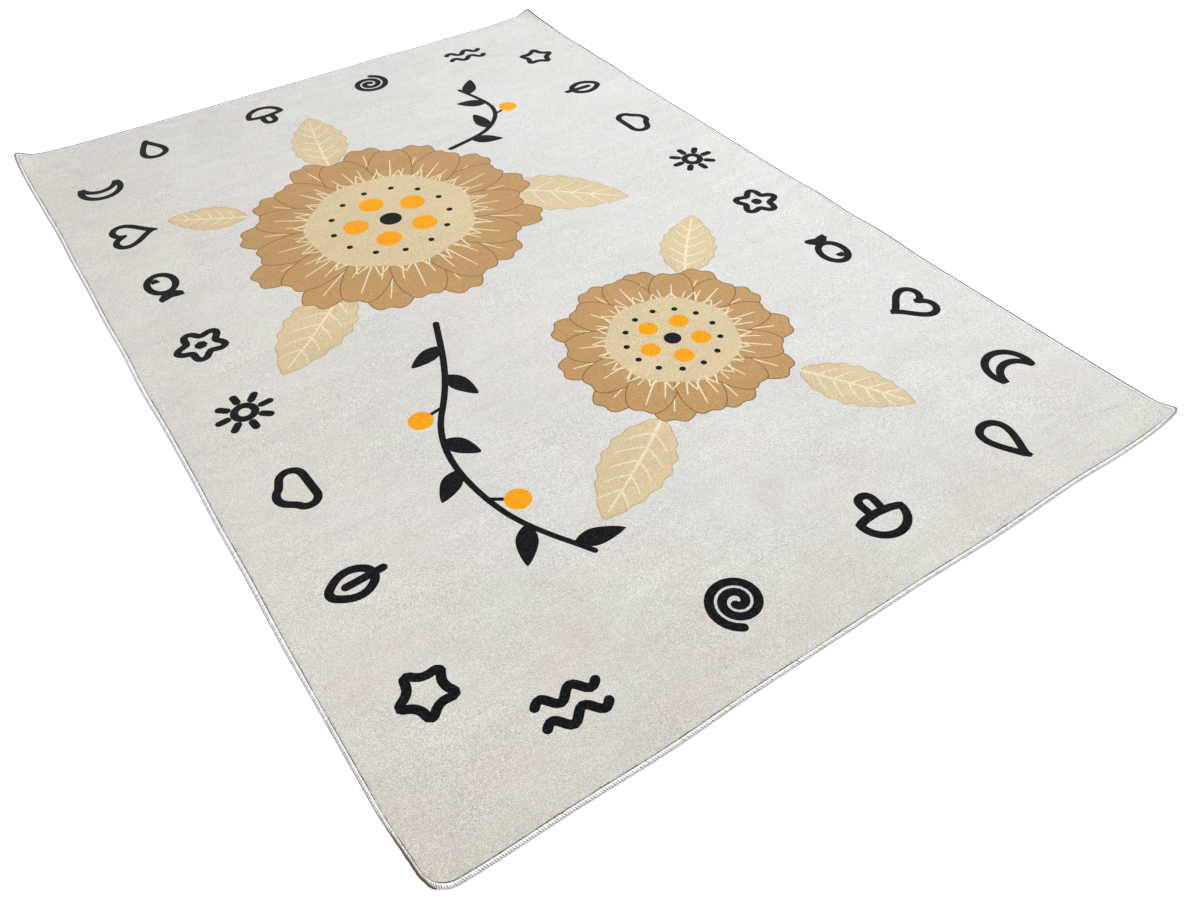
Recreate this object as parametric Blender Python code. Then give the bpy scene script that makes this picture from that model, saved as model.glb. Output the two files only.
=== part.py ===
"""Rectangular plush floor rug with rounded, curled corners and an overlocked edge.

Frame: X across the rug, Y along it, Z up. The origin lies on the underside, at the middle of the rug.
Both pieces are first made flat, where their outline and section are simple, and are then laid with one
bending function, so the edge thread stays wrapped round the rim wherever a corner curls or an edge lifts.
"""

import math

import bmesh
import bpy
from mathutils import Vector

# Driving dimensions, in metres
RUG_WIDTH = 1.220
RUG_LENGTH = 1.800
SHEET_THICKNESS = 0.0055
THREAD_WIDTH = 0.0070  # how far the edge thread reaches in over the sheet
THREAD_HEIGHT = 0.0050
THREAD_WALL = 0.0011
THREAD_ROUND = 0.0013
PIECE_GAP = 0.0003

# The rim that the thread wraps is pressed thinner than the sheet
RIM_LOW = THREAD_WALL + PIECE_GAP
RIM_HIGH = THREAD_HEIGHT - THREAD_WALL - PIECE_GAP
PANEL_INSET = THREAD_WIDTH + PIECE_GAP
HALF_X = RUG_WIDTH / 2 - PANEL_INSET
HALF_Y = RUG_LENGTH / 2 - PANEL_INSET

# Cut radius of each corner at the outer edge: (side on X, side on Y): radius
CORNER_RADII = {
    (-1, -1): 0.034,
    (1, -1): 0.014,
    (1, 1): 0.014,
    (-1, 1): 0.014,
}

# Curls: side on X, side on Y, height of the tip, reach along the X edge, reach along the Y edge.
# A corner with two rows curls gently from far out and sharply at its tip.
CORNER_CURLS = (
    (-1, -1, 0.009, 0.090, 0.120),
    (1, -1, 0.015, 0.090, 0.045),
    (1, -1, 0.003, 0.150, 0.200),
    (1, 1, 0.015, 0.042, 0.160),
    (1, 1, 0.008, 0.170, 0.350),
    (-1, 1, 0.020, 0.060, 0.100),
    (-1, 1, 0.008, 0.200, 0.260),
)

# Waves of the edges: axis that the edge crosses, its side, middle along the edge from the rug's centre,
# half length, outward shift, lift
EDGE_WAVES = (
    ("y", -1, -0.310, 0.140, 0.0030, 0.0008),
    ("y", -1, 0.220, 0.150, 0.0028, 0.0010),
    ("y", -1, 0.480, 0.090, 0.0022, 0.0000),
    ("y", -1, 0.590, 0.110, 0.0028, 0.0000),
    ("x", -1, -0.900, 0.130, -0.0050, 0.0000),
    ("x", -1, -0.550, 0.240, 0.0017, 0.0000),
    ("x", -1, -0.300, 0.120, 0.0014, 0.0008),
    ("x", -1, 0.040, 0.120, 0.0024, 0.0015),
    ("x", -1, 0.250, 0.120, 0.0012, 0.0000),
    ("x", -1, 0.570, 0.110, -0.0015, 0.0010),
    ("x", -1, 0.780, 0.110, 0.0018, 0.0000),
    ("x", -1, 0.900, 0.120, 0.0045, 0.0000),
    ("x", 1, -0.900, 0.060, 0.0030, 0.0000),
    ("x", 1, -0.310, 0.110, 0.0006, 0.0032),
    ("x", 1, -0.150, 0.090, 0.0004, 0.0028),
    ("x", 1, 0.540, 0.090, 0.0005, 0.0034),
    ("x", 1, 0.650, 0.090, 0.0005, 0.0036),
    ("x", 1, 0.780, 0.100, 0.0022, 0.0010),
    ("y", 1, -0.420, 0.110, 0.0000, 0.0006),
    ("y", 1, 0.190, 0.080, 0.0000, 0.0012),
    ("y", 1, 0.400, 0.110, 0.0000, 0.0010),
)
LIFT_DEPTH = 0.110  # how far in from an edge a wave lifts the sheet
SHIFT_DEPTH = 0.160  # how far in from an edge a wave shifts the sheet

# Grid lines, as distances in from the sheet's border, and the greatest spacing between them further in
BORDER_LINES = (0.0, 0.0040, 0.0087, 0.0150, 0.0227, 0.0340, 0.0520, 0.0800, 0.1200)
OPEN_SPACING = 0.062

SLOPE_STEP = 0.0005  # distance over which the sheet's slope is measured
WELD = 0.00002

PLUSH_COLOUR = (0.74, 0.72, 0.69, 1.0)
THREAD_COLOUR = (0.86, 0.86, 0.86, 1.0)


def clear_scene():
    for thing in list(bpy.data.objects):
        bpy.data.objects.remove(thing, do_unlink=True)


def grid_lines(half):
    """Line positions from -half to half: close together along both borders, even in between."""
    inner = half - BORDER_LINES[-1]
    steps = math.ceil(2 * inner / OPEN_SPACING)
    middle = [-inner + 2 * inner * i / steps for i in range(1, steps)]
    left = [-half + line for line in BORDER_LINES]
    return left + middle + [-value for value in reversed(left)]


def outline_place(x, y, grow=0.0):
    """Turns a point of the square-cornered grid into the rug's rounded outline.

    Lines that run parallel to the border share the centre of their corner's arc. A point on the border
    can also be moved outwards by grow.
    """
    side_x = math.copysign(1.0, x)
    side_y = math.copysign(1.0, y)
    depth_x = HALF_X - abs(x)
    depth_y = HALF_Y - abs(y)
    radius = CORNER_RADII[(int(side_x), int(side_y))] - PANEL_INSET
    shallow = min(depth_x, depth_y)
    deep = max(depth_x, depth_y)
    if deep < radius:
        turn = math.pi / 4 * (deep - shallow) / (radius - shallow)
        angle = math.pi / 4 + math.copysign(turn, depth_y - depth_x)
        arc = radius - shallow + grow
        depth_x = radius - arc * math.sin(angle)
        depth_y = radius - arc * math.cos(angle)
    elif depth_x <= depth_y:
        depth_x -= grow
    else:
        depth_y -= grow
    return side_x * (HALF_X - depth_x), side_y * (HALF_Y - depth_y)


def bump(distance, half_length):
    """A smooth hump, 1 at the middle and 0 from half_length on."""
    if abs(distance) >= half_length:
        return 0.0
    return math.cos(math.pi / 2 * distance / half_length) ** 2


def fade(depth, reach):
    """1 at an edge, falling smoothly to 0 at reach."""
    return max(0.0, 1.0 - max(depth, 0.0) / reach) ** 2


def lift(x, y):
    """Height of the sheet's underside above the floor."""
    height = 0.0
    for side_x, side_y, tip, reach_x, reach_y in CORNER_CURLS:
        along_x = RUG_WIDTH / 2 - side_x * x
        along_y = RUG_LENGTH / 2 - side_y * y
        height += tip * max(0.0, 1.0 - along_x / reach_x - along_y / reach_y) ** 2
    for axis, side, middle, half_length, _, rise in EDGE_WAVES:
        across, along = (x, y) if axis == "x" else (y, x)
        half = RUG_WIDTH / 2 if axis == "x" else RUG_LENGTH / 2
        height += rise * bump(along - middle, half_length) * fade(half - side * across, LIFT_DEPTH)
    return height


def shift(x, y):
    """Sideways move of the sheet: the edges wander, and a curled corner draws in."""
    move = Vector((0.0, 0.0))
    for axis, side, middle, half_length, outward, _ in EDGE_WAVES:
        across, along = (x, y) if axis == "x" else (y, x)
        half = RUG_WIDTH / 2 if axis == "x" else RUG_LENGTH / 2
        amount = outward * bump(along - middle, half_length) * fade(half - side * across, SHIFT_DEPTH)
        move["xy".index(axis)] += side * amount
    for side_x, side_y, tip, reach_x, reach_y in CORNER_CURLS:
        slope_x = side_x / reach_x
        slope_y = side_y / reach_y
        along_x = RUG_WIDTH / 2 - side_x * x
        along_y = RUG_LENGTH / 2 - side_y * y
        part = max(0.0, 1.0 - along_x / reach_x - along_y / reach_y)
        # A curl of height tip * part**2 uses up this much cloth along its slope
        move -= Vector((slope_x, slope_y)) * (2.0 / 3.0) * tip ** 2 * part ** 3
    return move


def lay(point):
    """Moves a point of the flat rug to where it lies, keeping its height above the underside."""
    x, y, height = point
    rise_x = (lift(x + SLOPE_STEP, y) - lift(x - SLOPE_STEP, y)) / (2 * SLOPE_STEP)
    rise_y = (lift(x, y + SLOPE_STEP) - lift(x, y - SLOPE_STEP)) / (2 * SLOPE_STEP)
    normal = Vector((-rise_x, -rise_y, 1.0)).normalized()
    move = shift(x, y)
    return Vector((x + move.x, y + move.y, lift(x, y))) + height * normal


def split_walls(bm, sources, walls):
    """Splits each new wall along one diagonal, the same on every layer, so the layers stay parallel on a curl."""
    for wall in walls:
        first, second = sorted({sources[vert] for vert in wall.verts})
        if Vector(first).cross(Vector(second)) < 0.0:
            first, second = second, first
        by_reach = sorted(wall.verts, key=lambda vert: vert.co.xy.length)
        inner = next(vert for vert in by_reach if sources[vert] == first)
        outer = next(vert for vert in reversed(by_reach) if sources[vert] == second)
        bmesh.ops.connect_verts(bm, verts=[inner, outer])


def extrude_border(bm, sources, edges, grow, height):
    """Extrudes a closed border to a new distance out from the panel's border, at a new height.

    sources maps each border vertex to its place on the square-cornered grid.
    """
    result = bmesh.ops.extrude_edge_only(bm, edges=edges)["geom"]
    new_edges = [item for item in result if isinstance(item, bmesh.types.BMEdge)]
    new_walls = [item for item in result if isinstance(item, bmesh.types.BMFace)]
    new_verts = [item for item in result if isinstance(item, bmesh.types.BMVert)]
    fresh = set(new_verts)
    for vert in new_verts:
        below = next(e.other_vert(vert) for e in vert.link_edges if e.other_vert(vert) not in fresh)
        sources[vert] = sources[below]
        x, y = outline_place(*sources[vert], grow)
        vert.co = Vector((x, y, height))
    split_walls(bm, sources, new_walls)
    return [edge for edge in new_edges if edge.verts[0] in fresh and edge.verts[1] in fresh]


def make_object(name, bm, colour, roughness, collection):
    for vert in bm.verts:
        vert.co = lay(vert.co)
    bmesh.ops.recalc_face_normals(bm, faces=bm.faces)
    mesh = bpy.data.meshes.new(name)
    bm.to_mesh(mesh)
    bm.free()
    mesh.shade_smooth()
    mesh.set_sharp_from_angle(angle=math.radians(40))
    material = bpy.data.materials.new(name)
    material.use_nodes = True
    shader = material.node_tree.nodes["Principled BSDF"]
    shader.inputs["Base Color"].default_value = colour
    shader.inputs["Roughness"].default_value = roughness
    shader.inputs["Metallic"].default_value = 0.0
    mesh.materials.append(material)
    thing = bpy.data.objects.new(name, mesh)
    collection.objects.link(thing)
    return thing


def square_grid(height):
    """A grid of the panel's lines, and each vertex's place on the square-cornered grid."""
    lines_x = grid_lines(HALF_X)
    lines_y = grid_lines(HALF_Y)
    bm = bmesh.new()
    bmesh.ops.create_grid(bm, x_segments=len(lines_x) - 1, y_segments=len(lines_y) - 1, size=1.0)
    sources = {}
    for vert in bm.verts:
        column = round((vert.co.x + 1.0) / 2.0 * (len(lines_x) - 1))
        row = round((vert.co.y + 1.0) / 2.0 * (len(lines_y) - 1))
        sources[vert] = (lines_x[column], lines_y[row])
        vert.co = Vector((*outline_place(*sources[vert]), height))
    return bm, sources


def build_sheet(collection):
    """The plush panel: a top and an underside, with the pressed rim between them."""
    rim_reach = PANEL_INSET - THREAD_WALL - PIECE_GAP
    bm, sources = square_grid(SHEET_THICKNESS)
    edges = [edge for edge in bm.edges if edge.is_boundary]
    for grow, height in ((0.0, RIM_HIGH), (rim_reach, RIM_HIGH), (rim_reach, RIM_LOW), (0.0, RIM_LOW)):
        edges = extrude_border(bm, sources, edges, grow, height)
    edges = extrude_border(bm, sources, edges, 0.0, 0.0)
    under, _ = square_grid(0.0)
    under_mesh = bpy.data.meshes.new("underside")
    under.to_mesh(under_mesh)
    under.free()
    bm.from_mesh(under_mesh)
    bpy.data.meshes.remove(under_mesh)
    bmesh.ops.remove_doubles(bm, verts=bm.verts, dist=WELD)
    return make_object("pile_sheet", bm, PLUSH_COLOUR, 0.95, collection)


def build_binding(collection):
    """The edge thread: a U-shaped section, open inwards, carried once round the outline."""
    top = THREAD_HEIGHT
    inner = PANEL_INSET - THREAD_WIDTH
    outer = PANEL_INSET
    wall = THREAD_WALL
    section = (
        (outer - THREAD_ROUND, top),
        (outer, top - THREAD_ROUND),
        (outer, THREAD_ROUND),
        (outer - THREAD_ROUND, 0.0),
        (inner, 0.0),
        (inner, wall),
        (outer - wall, wall),
        (outer - wall, top - wall),
        (inner, top - wall),
        (inner, top),
    )
    bm, sources = square_grid(top)
    bmesh.ops.delete(bm, geom=[vert for vert in bm.verts if not vert.is_boundary], context="VERTS")
    for vert in bm.verts:
        vert.co = Vector((*outline_place(*sources[vert], inner), top))
    edges = bm.edges[:]
    for grow, height in section:
        edges = extrude_border(bm, sources, edges, grow, height)
    bmesh.ops.remove_doubles(bm, verts=bm.verts, dist=WELD)
    return make_object("edge_binding", bm, THREAD_COLOUR, 0.7, collection)


def main():
    clear_scene()
    collection = bpy.data.collections.new("plush_rug")
    bpy.context.scene.collection.children.link(collection)
    build_sheet(collection)
    build_binding(collection)


main()
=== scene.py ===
"""A printed plush rug lying on a pale floor: the pile with its dyed design, and the wound overlock edge.

Every flat shape is worked out on the cut sheet, in metres from its middle, and then laid with one function,
which gives the curled corners and the wandering edges of the CAD solids.
"""

import math
import random

import bmesh
import bpy
import numpy as np
from mathutils import Matrix, Vector, noise
from mathutils.geometry import delaunay_2d_cdt


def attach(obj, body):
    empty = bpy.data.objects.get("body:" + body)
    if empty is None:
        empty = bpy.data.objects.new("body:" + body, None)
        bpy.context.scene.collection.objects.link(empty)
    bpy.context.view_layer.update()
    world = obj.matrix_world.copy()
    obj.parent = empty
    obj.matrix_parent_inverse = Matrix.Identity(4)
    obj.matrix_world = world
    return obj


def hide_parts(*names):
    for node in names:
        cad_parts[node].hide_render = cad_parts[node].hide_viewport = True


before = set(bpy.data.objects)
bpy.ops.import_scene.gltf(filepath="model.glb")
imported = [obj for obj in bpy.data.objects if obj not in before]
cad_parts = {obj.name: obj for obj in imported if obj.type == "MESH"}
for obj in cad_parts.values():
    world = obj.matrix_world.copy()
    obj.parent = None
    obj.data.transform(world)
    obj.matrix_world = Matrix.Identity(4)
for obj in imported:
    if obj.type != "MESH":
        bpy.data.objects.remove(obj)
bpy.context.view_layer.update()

# The cut rug and its edge, as in the CAD solids
RUG_WIDTH = 1.220
RUG_LENGTH = 1.800
PILE_TOP = 0.0055
THREAD_WIDTH = 0.0070
THREAD_TOP = 0.0050
THREAD_WALL = 0.0011
PIECE_GAP = 0.0003
PANEL_INSET = THREAD_WIDTH + PIECE_GAP
RIM_INSET = THREAD_WALL + PIECE_GAP
RIM_TOP = THREAD_TOP - RIM_INSET
CORNER_RADII = {(-1, -1): 0.034, (1, -1): 0.014, (1, 1): 0.014, (-1, 1): 0.014}

# Curls: side on X, side on Y, height of the tip, reach along the X edge, reach along the Y edge
CORNER_CURLS = (
    (-1, -1, 0.009, 0.090, 0.120),
    (1, -1, 0.015, 0.090, 0.045),
    (1, -1, 0.003, 0.150, 0.200),
    (1, 1, 0.015, 0.042, 0.160),
    (1, 1, 0.008, 0.170, 0.350),
    (-1, 1, 0.020, 0.060, 0.100),
    (-1, 1, 0.008, 0.200, 0.260),
)

# Waves of the edges: axis that the edge crosses, its side, middle along it, half length, outward shift, lift
EDGE_WAVES = (
    ("y", -1, -0.310, 0.140, 0.0030, 0.0008),
    ("y", -1, 0.220, 0.150, 0.0028, 0.0010),
    ("y", -1, 0.480, 0.090, 0.0022, 0.0000),
    ("y", -1, 0.590, 0.110, 0.0028, 0.0000),
    ("x", -1, -0.900, 0.130, -0.0050, 0.0000),
    ("x", -1, -0.550, 0.240, 0.0017, 0.0000),
    ("x", -1, -0.300, 0.120, 0.0014, 0.0008),
    ("x", -1, 0.040, 0.120, 0.0024, 0.0015),
    ("x", -1, 0.250, 0.120, 0.0012, 0.0000),
    ("x", -1, 0.570, 0.110, -0.0015, 0.0010),
    ("x", -1, 0.780, 0.110, 0.0018, 0.0000),
    ("x", -1, 0.900, 0.120, 0.0045, 0.0000),
    ("x", 1, -0.900, 0.060, 0.0030, 0.0000),
    ("x", 1, -0.310, 0.110, 0.0006, 0.0032),
    ("x", 1, -0.150, 0.090, 0.0004, 0.0028),
    ("x", 1, 0.540, 0.090, 0.0005, 0.0034),
    ("x", 1, 0.650, 0.090, 0.0005, 0.0036),
    ("x", 1, 0.780, 0.100, 0.0022, 0.0010),
    ("y", 1, -0.420, 0.110, 0.0000, 0.0006),
    ("y", 1, 0.190, 0.080, 0.0000, 0.0012),
    ("y", 1, 0.400, 0.110, 0.0000, 0.0010),
)
LIFT_DEPTH = 0.110
SHIFT_DEPTH = 0.160
SLOPE_STEP = 0.0005

# Camera, from the four edges of the rug in the photo
CAMERA_PLACE = (-0.6739, -1.3343, 1.0306)
CAMERA_FORWARD = (0.3871, 0.5937, -0.7055)
CAMERA_UP = (0.4097, 0.5747, 0.7084)
CAMERA_LENS = 30.69

# Dyes of the print
GROUND, TAN, TAN_LINE, BEIGE, BEIGE_LINE, CREAM, BLACK, ORANGE = range(8)
DYE_COUNT = 8


# ---- laying the flat rug

def bump(distance, half_length):
    """A smooth hump, 1 at the middle and 0 from half_length on."""
    inside = np.abs(distance) < half_length
    return np.where(inside, np.cos(math.pi / 2 * distance / half_length) ** 2, 0.0)


def fade(depth, reach):
    """1 at an edge, falling smoothly to 0 at reach."""
    return np.clip(1.0 - np.maximum(depth, 0.0) / reach, 0.0, None) ** 2


def curl_part(x, y, side_x, side_y, reach_x, reach_y):
    along_x = RUG_WIDTH / 2 - side_x * x
    along_y = RUG_LENGTH / 2 - side_y * y
    return np.clip(1.0 - along_x / reach_x - along_y / reach_y, 0.0, None)


def wave_part(x, y, axis, side, middle, half_length, depth):
    across, along = (x, y) if axis == "x" else (y, x)
    half = RUG_WIDTH / 2 if axis == "x" else RUG_LENGTH / 2
    return bump(along - middle, half_length) * fade(half - side * across, depth)


def lift(x, y):
    """Height of the sheet's underside above the floor."""
    height = np.zeros_like(x)
    for side_x, side_y, tip, reach_x, reach_y in CORNER_CURLS:
        height += tip * curl_part(x, y, side_x, side_y, reach_x, reach_y) ** 2
    for axis, side, middle, half_length, _, rise in EDGE_WAVES:
        height += rise * wave_part(x, y, axis, side, middle, half_length, LIFT_DEPTH)
    return height


def lay(x, y, height):
    """Places points of the flat rug, at a height above its underside, where they lie."""
    x, y, height = np.broadcast_arrays(*(np.asarray(values, float) for values in (x, y, height)))
    rise_x = (lift(x + SLOPE_STEP, y) - lift(x - SLOPE_STEP, y)) / (2 * SLOPE_STEP)
    rise_y = (lift(x, y + SLOPE_STEP) - lift(x, y - SLOPE_STEP)) / (2 * SLOPE_STEP)
    length = np.sqrt(rise_x ** 2 + rise_y ** 2 + 1.0)
    move_x = np.zeros_like(x)
    move_y = np.zeros_like(x)
    for axis, side, middle, half_length, outward, _ in EDGE_WAVES:
        amount = side * outward * wave_part(x, y, axis, side, middle, half_length, SHIFT_DEPTH)
        if axis == "x":
            move_x += amount
        else:
            move_y += amount
    for side_x, side_y, tip, reach_x, reach_y in CORNER_CURLS:
        drawn_in = 2.0 / 3.0 * tip ** 2 * curl_part(x, y, side_x, side_y, reach_x, reach_y) ** 3
        move_x -= side_x / reach_x * drawn_in
        move_y -= side_y / reach_y * drawn_in
    return np.stack([
        x + move_x - height * rise_x / length,
        y + move_y - height * rise_y / length,
        lift(x, y) + height / length,
    ], axis=-1)


class Outline:
    """Stations once round the rug's outer edge, anticlockwise from the near right corner."""

    def __init__(self, spacing):
        half_x, half_y = RUG_WIDTH / 2, RUG_LENGTH / 2
        corners = ((1, -1, -math.pi / 2), (1, 1, 0.0), (-1, 1, math.pi / 2), (-1, -1, math.pi))
        arcs = []
        for side_x, side_y, start in corners:
            radius = CORNER_RADII[(side_x, side_y)]
            centre = np.array((side_x * (half_x - radius), side_y * (half_y - radius)))
            steps = max(6, round(radius * math.pi / 2 / spacing))
            angles = start + np.linspace(0.0, math.pi / 2, steps + 1)
            away = np.column_stack([np.cos(angles), np.sin(angles)])
            arcs.append((centre + radius * away, away))
        points, outward = [], []
        for (bend, away), (next_bend, _) in zip(arcs, arcs[1:] + arcs[:1]):
            gap = next_bend[0] - bend[-1]
            steps = max(2, round(np.linalg.norm(gap) / spacing))
            parts = np.linspace(0.0, 1.0, steps + 1)[1:-1, None]
            points += [bend, bend[-1] + parts * gap]
            outward += [away, np.repeat(away[-1:], steps - 1, axis=0)]
        self.points = np.concatenate(points)
        self.outward = np.concatenate(outward)
        gaps = np.linalg.norm(np.roll(self.points, -1, axis=0) - self.points, axis=1)
        self.total = gaps.sum()
        self.knots = np.concatenate([[0.0], np.cumsum(gaps)])

    def inset(self, distance):
        """The stations moved in from the outer edge."""
        return self.points - np.broadcast_to(distance, len(self.points))[:, None] * self.outward

    def at(self, distances, inset):
        """x and y at distances along the outer edge, moved in by inset."""
        wrapped = np.mod(distances, self.total)
        points = np.concatenate([self.points, self.points[:1]]).T
        outward = np.concatenate([self.outward, self.outward[:1]]).T
        x, y = (np.interp(wrapped, self.knots, column) for column in points)
        away_x, away_y = (np.interp(wrapped, self.knots, column) for column in outward)
        size = np.hypot(away_x, away_y)
        return x - inset * away_x / size, y - inset * away_y / size

    def nearest(self, place):
        """The distance along the outer edge at the station nearest to a place."""
        return self.knots[np.argmin(np.linalg.norm(self.points - place, axis=1))]


# The near left stretch, where the thread is drawn in and the brown back peeps out from under it: distance
# along the edge from its start, how far the thread's outside is drawn in, how far the edge of the back is
# The brown back that shows here makes a dark line along the edge.
DRAWN_IN_START = (-0.610, -0.822)
DRAWN_IN_EDGE = (
    (-0.300, 0.0000, 0.0000), (-0.200, 0.0014, 0.0000), (-0.045, 0.0018, 0.0000), (-0.024, 0.0026, 0.0007),
    (-0.002, 0.0040, 0.0010), (0.026, 0.0044, 0.0010), (0.056, 0.0045, 0.0010), (0.064, 0.0026, -0.0011),
    (0.072, 0.0004, -0.0012), (0.082, -0.0009, -0.0009), (0.104, -0.0005, -0.0005), (0.130, 0.0000, 0.0000),
)


def drawn_in_edge(outline, distances):
    """How far the thread's outside and the edge of the back are drawn in, at distances along the edge."""
    half_round = outline.total / 2
    beyond = np.mod(distances - outline.nearest(DRAWN_IN_START) + half_round, outline.total) - half_round
    places, thread, back = zip(*DRAWN_IN_EDGE)
    return np.interp(beyond, places, thread), np.interp(beyond, places, back)


def on_thread(outline, distances, inset):
    """An inset across the thread, squeezed where the thread is drawn in."""
    drawn_in, _ = drawn_in_edge(outline, distances)
    return inset + drawn_in * (1.0 - inset / THREAD_WIDTH)


# ---- shapes of the design

def smooth(points, closed, rounds=2):
    """Cuts the corners of a line again and again, so it turns softly."""
    points = np.array(points, float)
    for _ in range(rounds):
        following = np.roll(points, -1, axis=0)
        near = 0.75 * points + 0.25 * following
        far = 0.25 * points + 0.75 * following
        cut = np.stack([near, far], axis=1).reshape(-1, 2)
        points = cut if closed else np.concatenate([points[:1], cut[1:-3], points[-1:]])
    return points


def spaced(points, step, closed=False):
    """The same line with points an even step apart."""
    points = np.array(points, float)
    if closed:
        points = np.concatenate([points, points[:1]])
    reach = np.concatenate([[0.0], np.cumsum(np.linalg.norm(np.diff(points, axis=0), axis=1))])
    count = max(3, round(reach[-1] / step))
    marks = np.linspace(0.0, reach[-1], count + 1)
    line = np.column_stack([np.interp(marks, reach, points[:, i]) for i in range(2)])
    return line[:-1] if closed else line


def curve(x, y, start, end, count, closed=True):
    """Points of the curve (x(t), y(t)) from start to end."""
    t = np.linspace(start, end, count, endpoint=not closed)
    return np.column_stack([x(t), y(t)])


def polar(reach, start, end, count, closed=True):
    """Points round the origin, at a distance that changes with the angle."""
    return curve(lambda t: reach(t) * np.cos(t), lambda t: reach(t) * np.sin(t), start, end, count, closed)


def arc(centre, radius, start=0.0, end=360.0, count=24):
    """An arc between two angles in degrees, or a whole circle."""
    angles = np.radians(np.linspace(start, end, count, endpoint=abs(end - start) < 360.0))
    return np.array(centre) + radius * np.column_stack([np.cos(angles), np.sin(angles)])


def turned(points, angle, place, scale=1.0):
    cos, sin = math.cos(angle), math.sin(angle)
    points = np.array(points, float) * scale
    x, y = points[:, 0], points[:, 1]
    return np.column_stack([x * cos - y * sin, x * sin + y * cos]) + place


def unit(ways):
    """The same ways, each made 1 long."""
    return ways / np.linalg.norm(ways, axis=1)[:, None]


def heading(angle):
    return np.array((math.cos(angle), math.sin(angle)))


def grown(line, amount):
    """A closed line moved outwards by amount, or inwards if it is negative."""
    following = np.roll(line, -1, axis=0)
    ahead = unit(following - np.roll(line, 1, axis=0))
    area = np.sum(line[:, 0] * following[:, 1] - following[:, 0] * line[:, 1])
    return line + amount * np.sign(area) * np.column_stack([ahead[:, 1], -ahead[:, 0]])


class Area:
    """A filled outline in one dye."""

    def __init__(self, dye, rim):
        self.dye = dye
        self.rims = [np.array(rim, float)]

    def covers(self, points):
        inside = np.zeros(len(points), bool)
        x, y = points[:, 0], points[:, 1]
        line = self.rims[0]
        for (x0, y0), (x1, y1) in zip(line, np.roll(line, -1, axis=0)):
            if y0 != y1:
                crosses = (y0 > y) != (y1 > y)
                inside ^= crosses & (x < (x1 - x0) * (y - y0) / (y1 - y0) + x0)
        return inside


class Stroke:
    """A line of one dye with round ends, whose half width may change along it."""

    def __init__(self, dye, line, half_widths, closed=False):
        self.dye = dye
        self.line = np.array(line, float)
        self.half = np.broadcast_to(np.asarray(half_widths, float), len(self.line)).copy()
        self.closed = closed
        ahead = np.roll(self.line, -1, axis=0)
        behind = np.roll(self.line, 1, axis=0)
        if not closed:
            ahead[-1] = self.line[-1]
            behind[0] = self.line[0]
        way = unit(ahead - behind)
        side = np.column_stack([-way[:, 1], way[:, 0]]) * self.half[:, None]
        left, right = self.line + side, self.line - side
        if closed:
            self.rims = [left, right]
        else:
            head, tail = (math.degrees(math.atan2(y, x)) for x, y in (way[-1], -way[0]))
            self.rims = [np.concatenate([
                right, arc(self.line[-1], self.half[-1], head - 60.0, head + 60.0, 5),
                left[::-1], arc(self.line[0], self.half[0], tail - 60.0, tail + 60.0, 5),
            ])]

    def covers(self, points):
        covered = np.zeros(len(points), bool)
        count = len(self.line)
        for i in range(count if self.closed else count - 1):
            j = (i + 1) % count
            start, way = self.line[i], self.line[j] - self.line[i]
            part = np.clip((points - start) @ way / (way @ way), 0.0, 1.0)
            away = np.linalg.norm(points - start - part[:, None] * way, axis=1)
            covered |= away <= self.half[i] + part * (self.half[j] - self.half[i])
        return covered


PETAL_LINE = 0.0019
LEAF_LINE = 0.0018
STROKE_HALF = 0.0019
PETAL_ROWS = ((1.00, 0.5), (0.92, 0.0))  # reach of a row of petals, its turn in petals
HEART = 0.55  # the flower's middle as a share of its radius
SEEDS, SEED_RING = 13, 0.70
DOTS, DOT_RING, DOT_SIZE, DOT_TURN = 5, 0.42, 0.082, 0.3
EYE_SIZE = 0.072


def bordered(dye, line_dye, rim, line_width):
    """A filled outline with a thin darker line round it."""
    return [Area(line_dye, rim), Area(dye, grown(rim, -line_width))]


def hair(start, end, bend, half_width, step=0.0055):
    """A thin cream line that bows to one side and thins out towards its end."""
    start, end = np.array(start, float), np.array(end, float)
    way = end - start
    middle = (start + end) / 2 + bend * np.array((-way[1], way[0]))
    part = np.linspace(0.0, 1.0, max(4, round(np.linalg.norm(way) / step)))[:, None]
    line = (1 - part) ** 2 * start + 2 * part * (1 - part) * middle + part ** 2 * end
    return Stroke(CREAM, line, half_width * (1.0 - 0.5 * part[:, 0]))


def petal_rim(length, width):
    """A rounded petal that points along +X from the origin, with a shallow dip in its end."""
    def along(t):
        return length * (0.5 - 0.5 * np.cos(t) - 0.05 * np.exp(-((t - math.pi) / 0.22) ** 2))

    def across(t):
        return 0.5 * width * np.sin(t) * (0.66 - 0.34 * np.cos(t))
    return curve(along, across, 0.0, 2 * math.pi, 60)


def leaf_rim(length, width, teeth):
    """A pointed leaf with soft teeth, along +X from the origin."""
    part = np.linspace(0.0, 1.0, 40)
    half = 0.5 * width * np.sin(math.pi * part ** 0.85) ** 0.8
    half *= 1.0 + 0.06 * np.sin(2 * math.pi * teeth * part)
    upper = np.column_stack([length * part, half])
    lower = np.column_stack([length * part, -half])[::-1][1:-1]
    return np.concatenate([upper, lower])


def petal(centre, angle, length, width, draw):
    """A tan petal with a darker line round it and three cream strokes."""
    rim = spaced(turned(petal_rim(length, width), angle, centre), 0.0062, True)
    shapes = bordered(TAN, TAN_LINE, rim, PETAL_LINE)
    for side in (-1, 0, 1):
        reach = draw.uniform(0.78, 0.88) if side == 0 else draw.uniform(0.66, 0.76)
        ends = turned([(length * 0.42, side * width * 0.05), (length * reach, side * width * 0.22)],
                      angle, centre)
        shapes.append(hair(ends[0], ends[1], side * 0.05 + draw.uniform(-0.03, 0.03), STROKE_HALF))
    return shapes


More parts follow.
